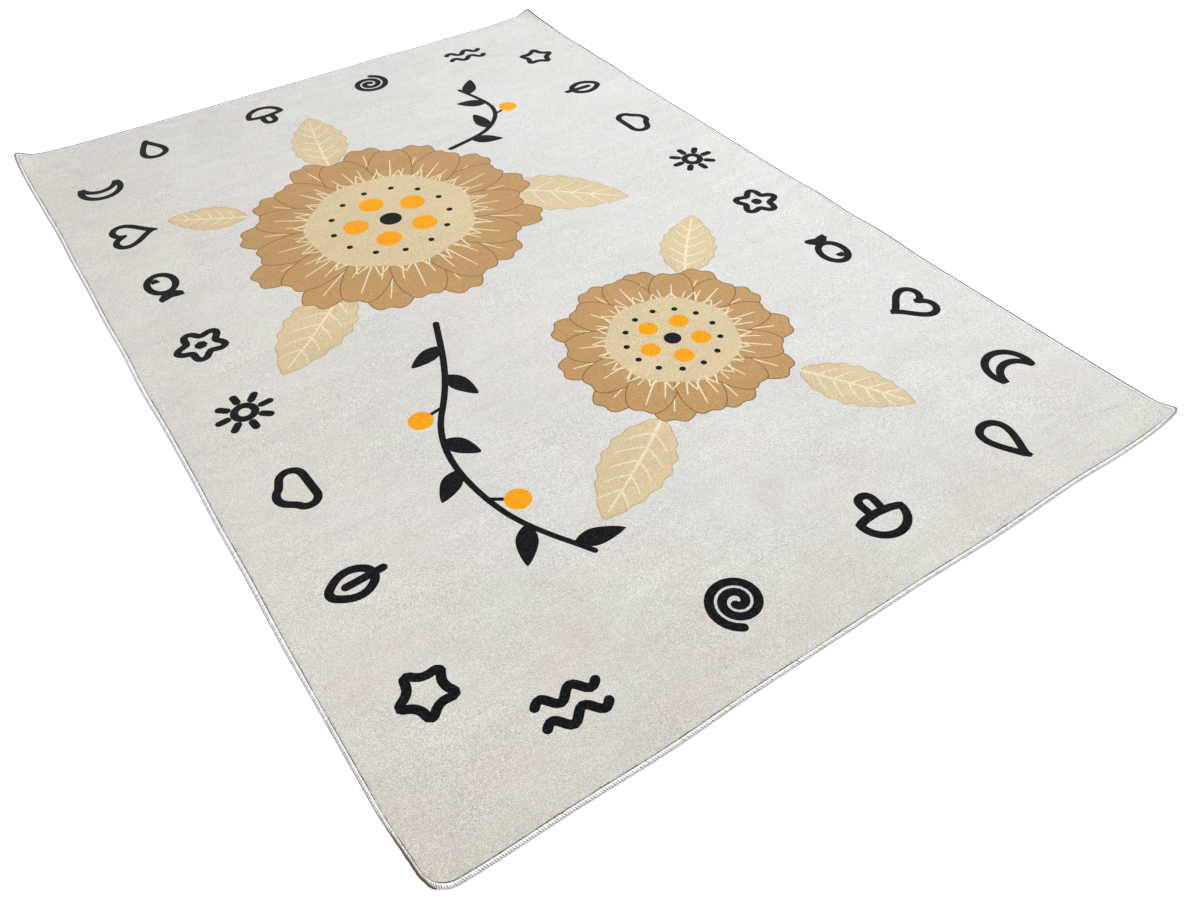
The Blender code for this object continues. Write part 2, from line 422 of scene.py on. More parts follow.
def blossom(centre, radius, petals, first_angle, draw):
    """A flower head: two rows of tan petals, and a beige heart with black seeds and orange dots."""
    centre = np.array(centre)
    shapes = []
    for reach, offset in PETAL_ROWS:
        for k in range(petals):
            angle = first_angle + 2 * math.pi * (k + offset) / petals + draw.uniform(-0.03, 0.03)
            length = radius * reach * draw.uniform(0.97, 1.03)
            width = 2 * math.pi * radius / petals * draw.uniform(0.86, 0.96)
            shapes += petal(centre, angle, length, width, draw)
    heart = radius * HEART
    rim = polar(lambda t: heart * (1.0 + 0.022 * np.sin(7 * t + 1.0)), 0.0, 2 * math.pi, 64)
    shapes += bordered(BEIGE, BEIGE_LINE, rim + centre, LEAF_LINE)
    feet = petals * 4
    turns = [2 * math.pi * k / feet + draw.uniform(-0.02, 0.02) for k in range(feet)]
    for first, second in zip(turns[::2], turns[1::2]):
        tip = centre + heading((first + second) / 2) * heart * draw.uniform(1.10, 1.20)
        for foot in (first, second):
            shapes.append(hair(centre + heading(foot) * heart * 0.99, tip, 0.0, STROKE_HALF * 0.9))
    for k in range(SEEDS):
        way = heading(first_angle + 2 * math.pi * k / SEEDS)
        shapes.append(Area(BLACK, arc(centre + way * heart * SEED_RING, 0.0038 + radius * 0.007, count=14)))
    for k in range(DOTS):
        way = heading(first_angle + DOT_TURN + 2 * math.pi * k / DOTS)
        shapes.append(Area(ORANGE, arc(centre + way * heart * DOT_RING, radius * DOT_SIZE)))
    shapes.append(Area(BLACK, arc(centre, radius * EYE_SIZE)))
    return shapes


def leaf(place, angle, length, width, draw):
    """A beige leaf with cream veins."""
    rim = spaced(turned(leaf_rim(length, width, 7), angle, place), 0.0055, True)
    shapes = bordered(BEIGE, BEIGE_LINE, rim, LEAF_LINE)
    spine = turned([(length * 0.02, 0.0), (length * 0.92, 0.0)], angle, place)
    shapes.append(hair(spine[0], spine[1], 0.03, 0.0030))
    for k in range(5):
        root = length * (0.16 + 0.14 * k)
        for side in (-1, 1):
            tip = (root + length * 0.13, side * width * (0.34 - 0.04 * abs(k - 1)))
            ends = turned([(root, 0.0), tip], angle, place)
            shapes.append(hair(ends[0], ends[1], 0.10 * side + draw.uniform(-0.03, 0.03), 0.0018))
    return shapes


def twig(points, buds, draw):
    """A black stem with small black leaves and orange berries in turn."""
    line = spaced(smooth(points, False, 3), 0.006)
    shapes = [Stroke(BLACK, line, np.linspace(0.0056, 0.0042, len(line)))]
    for k in range(buds):
        at = int((k + 0.9) / (buds + 0.2) * (len(line) - 2))
        way = line[at + 1] - line[at]
        side = 1 if k % 2 else -1
        angle = math.atan2(way[1], way[0]) + side * draw.uniform(0.75, 0.95)
        if k % 3 == 2:
            berry = line[at] + 0.042 * heading(angle)
            shapes.append(Stroke(BLACK, spaced([line[at], berry], 0.006), 0.0032))
            shapes.append(Area(ORANGE, arc(berry, 0.0195, count=26)))
        else:
            body = turned(leaf_rim(draw.uniform(0.062, 0.074), 0.030, 1), angle, line[at])
            shapes.append(Area(BLACK, spaced(body, 0.005, True)))
    return shapes


# Leaves: foot, heading in degrees, length, width
LEAVES = (
    ((-0.245, 0.105), 222, 0.235, 0.118),
    ((0.120, 0.235), 318, 0.265, 0.122),
    ((-0.100, 0.500), 78, 0.225, 0.110),
    ((-0.300, 0.420), 148, 0.150, 0.080),
    ((0.245, -0.205), 48, 0.190, 0.098),
    ((0.000, -0.470), 212, 0.215, 0.104),
    ((0.235, -0.505), 300, 0.180, 0.090),
)
# Twigs: points of the stem, and how many leaves and berries grow on it
TWIGS = (
    (((-0.165, -0.075), (-0.215, -0.210), (-0.300, -0.330), (-0.290, -0.500), (-0.220, -0.620)), 8),
    (((0.130, 0.420), (0.235, 0.440), (0.300, 0.520), (0.270, 0.640)), 5),
)


def centre_design():
    draw = random.Random(11)
    shapes = []
    for place, degrees, length, width in LEAVES:
        shapes += leaf(np.array(place), math.radians(degrees), length, width, draw)
    for points, buds in TWIGS:
        shapes += twig(points, buds, draw)
    shapes += blossom((-0.085, 0.255), 0.285, 13, 0.15, draw)
    shapes += blossom((0.125, -0.330), 0.198, 11, 0.40, draw)
    return shapes


# The small marks round the border, in a box from -1 to 1. Each gives lines as (points, closed).

def mark_star():
    tips = [heading(math.pi / 2 + math.pi * k / 5) * (0.98, 0.48)[k % 2] for k in range(10)]
    return [(smooth(tips, True, 2), True)]


def mark_leaf():
    rim = smooth([(0.0, 0.98), (-0.50, 0.42), (-0.58, -0.12), (-0.30, -0.58), (0.0, -0.66), (0.30, -0.58),
                  (0.58, -0.12), (0.50, 0.42)], True, 2)
    return [(rim, True), ([(0.0, 0.30), (0.0, -0.98)], False)]


def mark_sun():
    rays = [([0.68 * heading(a), 0.98 * heading(a)], False) for a in np.arange(8) * math.pi / 4]
    return [(arc((0, 0), 0.38, count=20), True)] + rays


def mark_moon():
    outer = arc((0.10, 0.0), 0.90, 62.0, 298.0, 20)
    inner = arc((0.66, 0.0), 0.80, 260.0, 100.0, 14)
    return [(smooth(np.concatenate([outer, inner]), True, 1), True)]


def mark_flower():
    rim = polar(lambda t: 0.76 + 0.19 * np.cos(5 * t), 0.0, 2 * math.pi, 44)[:, ::-1]
    return [(rim, True), (arc((0, 0), 0.11, count=8), True)]


def mark_fish():
    body = curve(lambda t: 0.24 + 0.72 * np.cos(t), lambda t: 0.56 * np.sin(t), 0.0, 2 * math.pi, 30)
    tail = [(-0.52, 0.06), (-0.94, 0.46), (-0.82, 0.0), (-0.94, -0.46), (-0.52, -0.06)]
    return [(body, True), (tail, False), (arc((0.52, 0.14), 0.05, count=6), True)]


def mark_heart():
    def across(t):
        return 0.92 * np.sin(t) ** 3

    def up(t):
        return 0.76 * np.cos(t) - 0.31 * np.cos(2 * t) - 0.12 * np.cos(3 * t) - 0.05 * np.cos(4 * t)
    return [(curve(across, up, 0.0, 2 * math.pi, 36), True)]


def mark_cloud():
    puffs = (((-0.56, -0.16), 0.38, 270.0, 108.0), ((-0.06, 0.16), 0.50, 150.0, 32.0),
             ((0.56, -0.12), 0.42, 76.0, -90.0))
    return [(np.concatenate([arc(*puff, 9) for puff in puffs]), True)]


def mark_drop():
    rim = curve(lambda t: 0.78 * np.sin(t) * np.sin(t / 2) ** 1.6, lambda t: 0.92 * np.cos(t),
                0.0, 2 * math.pi, 36)
    return [(rim, True)]


def mark_spiral():
    return [(polar(lambda t: 0.10 + 0.86 * t / 13.6, 0.5, 13.6, 48, False), False)]


def mark_mushroom():
    cap = np.concatenate([arc((0.0, 0.0), 0.86, 0.0, 180.0, 16), [(-0.5, -0.10), (0.0, -0.14), (0.5, -0.10)]])
    stem = smooth([(-0.24, -0.16), (-0.30, -0.80), (0.0, -0.98), (0.30, -0.80), (0.24, -0.16)], False, 2)
    return [(cap, True), (stem, False)]


def mark_waves():
    x = np.linspace(-0.95, 0.95, 24)
    return [(np.column_stack([x, height + 0.20 * np.sin(2 * math.pi * x / 0.98)]), False)
            for height in (0.46, -0.30)]


MARKS = (mark_star, mark_leaf, mark_cloud, mark_sun, mark_flower, mark_fish, mark_heart, mark_moon, mark_drop,
         mark_mushroom, mark_spiral, mark_waves)
MARK_HALF = 0.041
MARK_STROKE = 0.0063
MARKS_ALONG = 8
MARKS_ACROSS = 4
MARK_INSET = 0.112
FIRST_ALONG = 0.105  # from the line of marks beside it to a side's first mark
FIRST_ACROSS = 0.130


def border_marks():
    """Black marks along the four sides, each with its top towards the edge."""
    draw = random.Random(5)
    side_x, side_y = RUG_WIDTH / 2 - MARK_INSET, RUG_LENGTH / 2 - MARK_INSET
    along_y = np.linspace(-side_y + FIRST_ALONG, side_y - FIRST_ALONG, MARKS_ALONG)
    along_x = np.linspace(-side_x + FIRST_ACROSS, side_x - FIRST_ACROSS, MARKS_ACROSS)
    places = [(-side_x, y, math.pi / 2) for y in along_y]
    places += [(x, side_y, 0.0) for x in along_x]
    places += [(side_x, y, -math.pi / 2) for y in along_y[::-1]]
    places += [(x, -side_y, math.pi) for x in along_x[::-1]]
    shapes = []
    for k, (x, y, angle) in enumerate(places):
        tilt = angle + draw.uniform(-0.09, 0.09)
        for line, closed in MARKS[k % len(MARKS)]():
            placed = spaced(turned(line, tilt, (x, y), MARK_HALF), 0.0042, closed)
            shapes.append(Stroke(BLACK, placed, MARK_STROKE, closed))
    return shapes


# ---- the pile sheet

GRID_STEP = 0.0090
GRID_JITTER = 0.10  # of the step
GRID_MARGIN = 0.005  # kept clear inside the last of the rounds
BORDER_STEP = 0.0036
PILE_ROUNDS = ((-0.0010, 0.0008), (0.0007, 0.0003), (0.0022, 0.0001), (0.0042, 0.0))  # inset, drop
PILE_RAGGED = 0.0006
PILE_WANDER = 0.0009
WANDER_SCALE = (45.0, 45.0, 9.0)  # of noise on X and on Y, and its layer
BORDER_SHADE = 0.045
BORDER_FADE = 0.0026
LEAST_SHADE = 0.15  # of the full shade, on the far and right sides
SHADE_CLUMPS = 1.6
SHADE_SCALE = (70.0, 70.0, 7.0)
RELIEF = ((0.00022, (48.0, 48.0, 0.0)), (0.00055, (8.5, 8.5, 3.0)), (0.00030, (14.0, 34.0, 5.0)))
RELIEF_MARGIN = 0.020
LEAST_RELIEF = 0.15  # of the full relief, at the border
UNDER_STEP = 0.045
UNDER_MARGIN = 0.020
MAP_EDGE = 0.004  # free strip round each part of the map
MAP_FILL = 0.985
TOP_SHARE = 0.678  # of the map's width for the top, as wide in proportion as the rug
BACK_SHARE = 0.46  # of the map's height for the back
WALL_START, WALL_SHARE = 0.48, 0.50
WALL_FILL = 0.84
WALL_ROWS = 5
WALL_CORNERS = np.array(((0, 0), (0, 1), (1, 1), (1, 0)), float)
CREASE_STEP = 0.0050
CREASE_ROWS = (-1.6, -0.7, 0.0, 0.7, 1.6)  # in half widths from its line
CREASE_MARGIN = 0.002

# Marks of handling in the pile, with painted shade in them and painted light or shade beside them, partly the
# pile's lie:
# line in mm, half width and depth in tenths of a mm, change of tone in thousandths along it, on its left and
# on its right, and the reach of that in mm
CREASES = (
    (((479, -822), (503, -821), (528, -828), (578, -840)), 22, 9, -90, 30, -20, 10),
    # Painted shadow just inside the near edge, from the curled near right corner.
    (((400, -888.5), (500, -888.5), (597, -886)), 60, 3, -70, 0, 0, 10),
    (((357, -533), (409, -630), (445, -714), (479, -822)), 60, 4, 0, -30, 12, 50),
    (((334, 812), (367, 842), (402, 872)), 55, 8, -60, 10, -20, 30),
    (((350, 827), (376, 787), (413, 752), (460, 717), (528, 659)), 60, 10, -60, -15, 20, 40),
    (((-600, 32), (-450, 12), (-300, 0), (-150, 4)), 70, 6, -30, 18, -22, 50),
    (((-560, -64), (-450, -98), (-318, -112), (-200, -116)), 60, 5, -30, 12, -10, 30),
    (((-280, -505), (-50, -498), (150, -505)), 60, 3, -22, 6, -6, 40),
    (((-300, -742), (-100, -740), (100, -752)), 70, 3, -15, 12, -10, 45),
    (((-206, 444), (-165, 430), (-80, 420)), 60, 4, -35, 10, -5, 20),
    (((-545, 850), (-525, 800), (-505, 745)), 110, 8, -50, 10, -10, 30),
    (((475, -65), (516, -60), (544, -71)), 40, 9, -80, 30, -10, 14),
    (((551, -117), (575, -108), (597, -97)), 35, 8, -70, 20, 0, 10),
    (((558, -142), (572, -134), (587, -122)), 35, 7, -60, 20, 0, 10),
    (((492, -175), (507, -168), (523, -157)), 35, 7, -60, 20, 0, 10),
    (((412, -164), (400, -186), (406, -203), (424, -199)), 40, 10, -100, 45, 0, 10),
    (((468, -167), (452, -186), (453, -200)), 38, 10, -100, 40, 0, 10),
    (((490, 14), (520, 10), (555, 11)), 50, 7, -45, -10, 20, 14),
    (((588, -54), (597, -56), (602, -58)), 40, 7, -60, 0, 40, 12),
    (((530, -226), (552, -222), (575, -226)), 80, 5, -30, 0, 0, 10),
    (((386, 497), (405, 506), (419, 525)), 50, 5, -35, 10, 0, 12),
    (((-330, -600), (-290, -640), (-270, -690)), 60, 5, -30, 10, -10, 20),
    (((-335, 884), (-297, 860), (-270, 860)), 60, 4, 100, -50, 0, 12),
    (((-250, 850), (-241, 842), (-236, 830)), 80, 4, -130, 0, 0, 10),
    (((-225, 868), (-205, 864), (-185, 860)), 100, 3, -70, 0, 0, 12),
    (((-190, 877), (-176, 877), (-165, 874)), 50, 3, 110, 0, -40, 10),
    (((-140, 880), (-120, 874), (-106, 872)), 60, 3, 110, 0, -40, 10),
    (((-118, 824), (-100, 840), (-85, 852)), 60, 4, 80, 0, -40, 10),
)


def creases():
    """Each crease in metres: points, heading at each, half width, depth, three tones and their reach."""
    for corners, half_width, depth, *tones, reach in CREASES:
        line = spaced(smooth(np.array(corners) / 1000, False, 3), CREASE_STEP)
        way = unit(np.gradient(line, axis=0))
        yield line, way, half_width / 10000, depth / 10000, np.array(tones) / 1000, reach / 1000


def crease_marks(points):
    """How far the creases press the pile down at each point, and how they change its tone: painted shade in
    them and painted light or shade beside them.
    """
    pressed = np.zeros(len(points))
    tone = np.zeros(len(points))
    for line, way, half_width, depth, (line_tone, left_tone, right_tone), reach in creases():
        margin = 3 * reach
        inside = (points > line.min(axis=0) - margin) & (points < line.max(axis=0) + margin)
        near = np.flatnonzero(inside.all(axis=1))
        gap = points[near][:, None, :] - line[None]
        nearest = np.argmin((gap ** 2).sum(axis=2), axis=1)
        gap = gap[np.arange(len(near)), nearest]
        way = way[nearest]
        side = way[:, 0] * gap[:, 1] - way[:, 1] * gap[:, 0]
        beyond = np.abs((way * gap).sum(axis=1))
        part = nearest / (len(line) - 1)
        strength = np.clip(4.0 * part * (1.0 - part), 0.0, 1.0) ** 0.6
        strength = strength * np.exp(-0.3 * (beyond / half_width) ** 2)
        press = np.exp(-(side / half_width) ** 2)
        pressed[near] += depth * press * strength
        beside = np.where(side > 0, left_tone, right_tone) * np.exp(-np.abs(side) / reach) * (1.0 - press)
        tone[near] += (line_tone * press + beside) * strength
    return pressed, tone


def noise_at(x, y, scale):
    """Smooth noise at each point. scale gives its scale on X and on Y, and its layer."""
    return np.array([noise.noise(Vector((px * scale[0], py * scale[1], scale[2]))) for px, py in zip(x, y)])


def pile_relief(x, y):
    """Small rises and falls of the pile's surface: clumps, a slow swell and the way it was brushed."""
    return sum(height * noise_at(x, y, scale) for height, scale in RELIEF)


def border_depth(x, y):
    """Distance in from the pile's border, good enough near it."""
    dx = RUG_WIDTH / 2 - PANEL_INSET - np.abs(x)
    dy = RUG_LENGTH / 2 - PANEL_INSET - np.abs(y)
    depth = np.minimum(dx, dy)
    for (side_x, side_y), cut in CORNER_RADII.items():
        radius = cut - PANEL_INSET
        corner = (np.sign(x) == side_x) & (np.sign(y) == side_y) & (dx < radius) & (dy < radius)
        depth = np.where(corner, radius - np.hypot(radius - dx, radius - dy), depth)
    return np.maximum(depth, 0.0)


def border_shade(x, y):
    """The shade along the near and left sides, where the pile leans over the thread."""
    shaded = np.clip(0.5 - 2.0 * (x / RUG_WIDTH + y / RUG_LENGTH), LEAST_SHADE, 1.0)
    clumps = 1.0 + SHADE_CLUMPS * noise_at(x, y, SHADE_SCALE)
    return BORDER_SHADE * shaded * clumps * np.exp(-border_depth(x, y) / BORDER_FADE)


def pile_height(x, y, pressed):
    depth = border_depth(x, y)
    drop = np.interp(depth, *zip(*PILE_ROUNDS))
    return PILE_TOP - drop - pressed + pile_relief(x, y) * np.clip(depth / RELIEF_MARGIN, LEAST_RELIEF, 1.0)


def staggered_grid(step, margin, draw, jitter):
    """Points in staggered rows over the panel, clear of its border by margin."""
    half_x, half_y = RUG_WIDTH / 2 - PANEL_INSET, RUG_LENGTH / 2 - PANEL_INSET
    points = []
    for row, y in enumerate(np.arange(-half_y, half_y, step * math.sqrt(0.75))):
        for x in np.arange(-half_x + 0.5 * step * (row % 2), half_x, step):
            points.append((x + draw.uniform(-jitter, jitter), y + draw.uniform(-jitter, jitter)))
    points = np.array(points)
    return points[border_depth(points[:, 0], points[:, 1]) > margin]


def crease_rows():
    """Rows of points along each crease, so that the mesh can follow its sides."""
    rows = []
    for line, way, half_width, *_ in creases():
        side = np.column_stack([-way[:, 1], way[:, 0]])
        rows += [line + offset * half_width * side for offset in CREASE_ROWS]
    rows = np.concatenate(rows)
    return rows[border_depth(rows[:, 0], rows[:, 1]) > PILE_ROUNDS[-1][0] + CREASE_MARGIN]


def ring_edges(count, first=0):
    """The edges of a closed ring of points, as pairs of their numbers."""
    return [(first + i, first + (i + 1) % count) for i in range(count)]


def triangulate(points, edges):
    """Triangles over all the points, with every edge kept."""
    made = delaunay_2d_cdt([Vector(p) for p in points], edges, [], 0, 1e-7, False)
    return np.array([tuple(v) for v in made[0]]), np.array(made[2])


def dye_of(middles, shapes):
    """The dye at each point: the last shape that covers it."""
    dyes = np.full(len(middles), GROUND)
    for shape in shapes:
        rim = np.concatenate(shape.rims)
        inside = ((middles >= rim.min(axis=0)) & (middles <= rim.max(axis=0))).all(axis=1)
        near = np.flatnonzero(inside)
        dyes[near[shape.covers(middles[near])]] = shape.dye
    return dyes


def pile_flat(shapes, outline, draw):
    """The pile's flat points and triangles. The points of its border come first."""
    border = len(outline.points)
    wander = np.clip(0.5 + 1.3 * noise_at(*outline.points.T, WANDER_SCALE), 0.0, 1.0)
    uneven = PILE_WANDER * wander + np.array([draw.uniform(0.0, PILE_RAGGED) for _ in range(border)])
    points = [outline.inset(PANEL_INSET + inset + uneven) for inset, _ in PILE_ROUNDS]
    edges = ring_edges(border)
    count = border * len(points)
    for rim in [rim for shape in shapes for rim in shape.rims]:
        points.append(rim)
        edges += ring_edges(len(rim), count)
        count += len(rim)
    points.append(crease_rows())
    points.append(staggered_grid(GRID_STEP, PILE_ROUNDS[-1][0] + GRID_MARGIN, draw, GRID_STEP * GRID_JITTER))
    points, faces = triangulate(np.concatenate(points), edges)
    on_border = np.flatnonzero((faces < border).all(axis=1))
    within = Area(GROUND, points[:border]).covers(points[faces[on_border]].mean(axis=1))
    return points, np.delete(faces, on_border[~within], axis=0)


def link_mesh(name, points, faces):
    mesh = bpy.data.meshes.new(name)
    mesh.from_pydata(points.tolist(), [], faces)
    mesh.shade_smooth()
    piece = bpy.data.objects.new(name, mesh)
    bpy.context.scene.collection.objects.link(piece)
    return piece


def points_of(mesh):
    return np.array([tuple(vert.co) for vert in mesh.vertices])


def store(mesh, name, domain, values):
    """Keeps a number for each face or point of a mesh, for its material. It is 0 past the values."""
    layer = mesh.attributes.new(name, "FLOAT", domain).data
    numbers = np.zeros(len(layer), np.float32)
    numbers[:len(values)] = values
    layer.foreach_set("value", numbers)


def build_pile():
    """The sheet: the dyed pile on top, the thin rim that the thread holds, and the woven back."""
    draw = random.Random(2)
    shapes = centre_design() + border_marks()
    outline = Outline(BORDER_STEP)
    border = len(outline.points)
    top, faces = pile_flat(shapes, outline, draw)
    dyes = dye_of(top[faces].mean(axis=1), shapes)
    pressed, tone = crease_marks(top)
    rings = [lay(*top.T, pile_height(*top.T, pressed))]
    _, worn = drawn_in_edge(outline, outline.knots[:-1])
    rim = RIM_INSET + worn * np.array([draw.uniform(0.8, 1.2) for _ in range(border)])
    for inset, height in ((PANEL_INSET, RIM_TOP), (rim, RIM_TOP), (rim, RIM_INSET), (PANEL_INSET, RIM_INSET)):
        rings.append(lay(*outline.inset(inset).T, height))
    under = np.concatenate([outline.inset(PANEL_INSET), staggered_grid(UNDER_STEP, UNDER_MARGIN, draw, 0.0)])
    under, under_faces = triangulate(under, ring_edges(border))
    rings.append(lay(*under.T, 0.0))

    starts = np.cumsum([0] + [len(ring) for ring in rings])
    sides = []
    for upper, lower in zip(starts[:WALL_ROWS], starts[1:]):
        sides += [[upper + i, lower + i, lower + j, upper + j] for i, j in ring_edges(border)]
    all_faces = faces.tolist() + sides + (starts[WALL_ROWS] + under_faces[:, ::-1]).tolist()
    pile = link_mesh("plush_pile", np.concatenate(rings), all_faces)
    store(pile.data, "dye", "FACE", dyes)
    # The tone holds painted shade along the near and left border, and the creases' painted shade with painted
    # light beside some.
    store(pile.data, "tone", "POINT", tone - border_shade(*top.T))
    # The pile's cut side, the rim and the underside take the brown back's material: the back where it is, and
    # painted shade along the pile's edge.
    pile.data.polygons.foreach_set("material_index", [0] * len(dyes) + [1] * (len(all_faces) - len(dyes)))
    map_pile(pile.data, len(faces), border, len(sides))
    return pile


def map_pile(mesh, top_count, border, side_count):
    """A flat map: the top at full size, the back and the walls small beside it."""
    flat = points_of(mesh)[:, :2] / (RUG_WIDTH, RUG_LENGTH) * MAP_FILL + 0.5
    on_top = MAP_EDGE + flat * (TOP_SHARE - 2 * MAP_EDGE, 1.0 - 2 * MAP_EDGE)
    beside = (TOP_SHARE + MAP_EDGE, MAP_EDGE)
    small = (1.0 - TOP_SHARE - 2 * MAP_EDGE, BACK_SHARE)
    on_back = beside + flat * small
    wall_edge = (1.0 - WALL_FILL) / 2
    layer = mesh.uv_layers.new(name="OFBake")
    corner = 0
    found = np.empty((len(mesh.loops), 2), np.float32)
    for index, face in enumerate(mesh.polygons):
        corners = list(face.vertices)
        if index < top_count:
            spots = on_top[corners]
        elif index < top_count + side_count:
            row, column = divmod(index - top_count, border)
            along = (column + WALL_CORNERS[:, 0]) / border
            across = (row + wall_edge + WALL_FILL * WALL_CORNERS[:, 1]) / WALL_ROWS
            spots = np.column_stack([beside[0] + along * small[0], WALL_START + across * WALL_SHARE])
        else:
            spots = on_back[corners]
        found[corner:corner + len(corners)] = spots
        corner += len(corners)
    layer.data.foreach_set("uv", found.ravel())


# ---- the overlock edge

EDGE_STEP = 0.0020
CORE_STEP = 0.0050
CORE_DROP = 0.0008  # of the core's top below the thread's
STITCH_PITCH = 0.0032
STITCH_SIDES = 6
PLACE_SPREAD = 0.05  # of a stitch along the edge, as a share of the pitch
LEAN_SPREAD, WIDTH_SPREAD, HEIGHT_SPREAD = 0.10, 0.08, 0.14
STRAND_SIDES = 5
STRAND_RADIUS = 0.00050
STRAND_HEIGHT = 0.0047
STRAND_SWAY, STRAND_RISE = 0.00020, 0.00025
TUFT_SIDES = 5
TUFT_PITCH = 0.0021
TUFT_TIP = 0.55
TUFT_WIDTH, TUFT_THICKNESS = (0.0006, 0.0015), (0.0005, 0.0008)  # halves, lowest and highest
TUFT_RISE, TUFT_LEAN = (0.0009, 0.0017), (0.0, 0.0009)
TUFT_ROOT = 0.0007


def take_template(piece):
    """The points and faces of a modelled piece, which is then removed."""
    points = points_of(piece.data)
    faces = [list(face.vertices) for face in piece.data.polygons]
    bpy.data.objects.remove(piece)
    return points, faces


def repeat(name, template, places, across):
    """One mesh of many copies of a template. places holds each copy's points, across how far out they lie."""
    count, size = places.shape[:2]
    joined = [[size * copy + i for i in face] for copy in range(count) for face in template[1]]
    piece = link_mesh(name, places.reshape(-1, 3), joined)
    store(piece.data, "across", "POINT", np.broadcast_to(across, (count, size)).ravel())
    return piece


def model_stitch(wide, tall):
    """A stitch of bulky thread from X 0 to 1, with a half width and a half height at each of its rings."""
    bpy.ops.mesh.primitive_cylinder_add(vertices=STITCH_SIDES, radius=1.0, depth=1.0,
                                        location=(0.5, 0.0, 0.0), rotation=(0.0, math.pi / 2, 0.0))
    stitch = bpy.context.object
    bpy.ops.object.transform_apply(location=True, rotation=True, scale=True)
    bpy.ops.object.mode_set(mode="EDIT")
    rings = np.linspace(0.0, 1.0, len(wide))
    for x in rings[1:-1]:
        bpy.ops.mesh.select_all(action="SELECT")
        bpy.ops.mesh.bisect(plane_co=(x, 0.0, 0.0), plane_no=(1.0, 0.0, 0.0))
    shape = bmesh.from_edit_mesh(stitch.data)
    for x, half_width, half_height in zip(rings, wide, tall):
        bpy.ops.mesh.select_all(action="DESELECT")
        for vert in shape.verts:
            vert.select = bool(abs(vert.co.x - x) < 0.01)
        shape.select_flush(True)
        bpy.ops.transform.resize(value=(1.0, half_width, half_height), center_override=(x, 0.0, 0.0))
    bpy.ops.object.mode_set(mode="OBJECT")
    return take_template(stitch)


def wind(name, template, route, slant, phase, seed):
    """Winds stitches over the edge, one for each pitch. route is the yarn's (inset, height) in section."""
    draw = np.random.default_rng(seed)
    outline = Outline(EDGE_STEP)
    count = round(outline.total / STITCH_PITCH)
    pitch = outline.total / count
    route = np.array(route)
    knots = np.linspace(0.0, 1.0, len(route))
    way = unit(np.gradient(route, axis=0))
    part, sideways, up = template[0].T
    inset, height, way_in, way_up = (np.interp(part, knots, column) for column in (*route.T, *way.T))
    start = (np.arange(count) + phase) * pitch + draw.normal(0.0, PLACE_SPREAD * pitch, count)
    lean = slant * (1.0 + draw.normal(0.0, LEAN_SPREAD, count))
    broad = 1.0 + draw.normal(0.0, WIDTH_SPREAD, count)
    thick = 1.0 + draw.normal(0.0, HEIGHT_SPREAD, count)
    along = start[:, None] + pitch * (lean[:, None] * (part - 0.5) + broad[:, None] * sideways)
    raised = STITCH_PITCH * up * thick[:, None]
    x, y = outline.at(along, on_thread(outline, along, inset + way_up * raised))
    return repeat(name, template, lay(x, y, height - way_in * raised), part)


def ring_band(name, sections):
    """A closed band from a grid wrapped round the rug. sections holds each station's ring of points."""
    stations, ring = sections.shape[:2]
    bpy.ops.mesh.primitive_grid_add(x_subdivisions=stations, y_subdivisions=ring, size=1.0)
    band = bpy.context.object
    band.name = band.data.name = name
    places = points_of(band.data)
    along = np.round((places[:, 0] + 0.5) * stations).astype(int) % stations
    round_it = np.round((places[:, 1] + 0.5) * ring).astype(int) % ring
    band.data.vertices.foreach_set("co", sections[along, round_it].ravel())
    bpy.ops.object.mode_set(mode="EDIT")
    bpy.ops.mesh.select_all(action="SELECT")
    bpy.ops.mesh.remove_doubles(threshold=0.00001)
    bpy.ops.mesh.normals_make_consistent(inside=False)
    bpy.ops.object.mode_set(mode="OBJECT")
    band.data.shade_smooth()
    band.select_set(False)
    return band


def build_core():
    """The inner band of the edge: what shows between the stitches."""
    top = THREAD_TOP - CORE_DROP
    profile = (
        (0.0056, RIM_TOP + 0.0004), (0.0052, top - 0.0002), (0.0040, top), (0.0020, top - 0.0002),
        (0.0010, top - 0.0010), (0.0006, 0.0024), (0.0007, 0.0012), (0.0020, 0.0006),
        (THREAD_WIDTH - 0.0003, 0.0006), (THREAD_WIDTH - 0.0003, THREAD_WALL), (THREAD_WALL, THREAD_WALL),
        (THREAD_WALL, RIM_TOP + 0.0001), (0.0056, RIM_TOP + 0.0001),
    )
    outline = Outline(CORE_STEP)
    along = outline.knots[:-1]
    ring = [lay(*outline.inset(on_thread(outline, along, inset)).T, height) for inset, height in profile]
    return ring_band("edge_core", np.stack(ring, axis=1))


def build_top_stitches():
    """The bulky stitches over the top: fat where they leave the pile, drawn thin in the middle."""
    template = model_stitch(wide=(0.40, 0.58, 0.58, 0.42, 0.34, 0.42, 0.42),
                            tall=(0.14, 0.25, 0.25, 0.18, 0.16, 0.20, 0.16))
    route = ((0.0063, 0.0041), (0.0057, 0.0048), (0.0047, 0.0049), (0.0036, 0.0049), (0.0026, 0.0049),
             (0.0014, 0.0048), (0.0006, 0.0041))
    return wind("edge_top_stitches", template, route, 0.95, 0.0, 21)


def build_side_stitches():
    """The legs of the stitches, down the outside and under the edge."""
    template = model_stitch(wide=(0.42, 0.52, 0.48, 0.48, 0.30), tall=(0.14, 0.17, 0.16, 0.16, 0.10))
    route = ((0.0011, 0.0037), (0.0005, 0.0028), (0.0006, 0.0016), (0.0014, 0.0008), (0.0040, 0.0007))
    return wind("edge_side_stitches", template, route, -0.45, 0.5, 22)


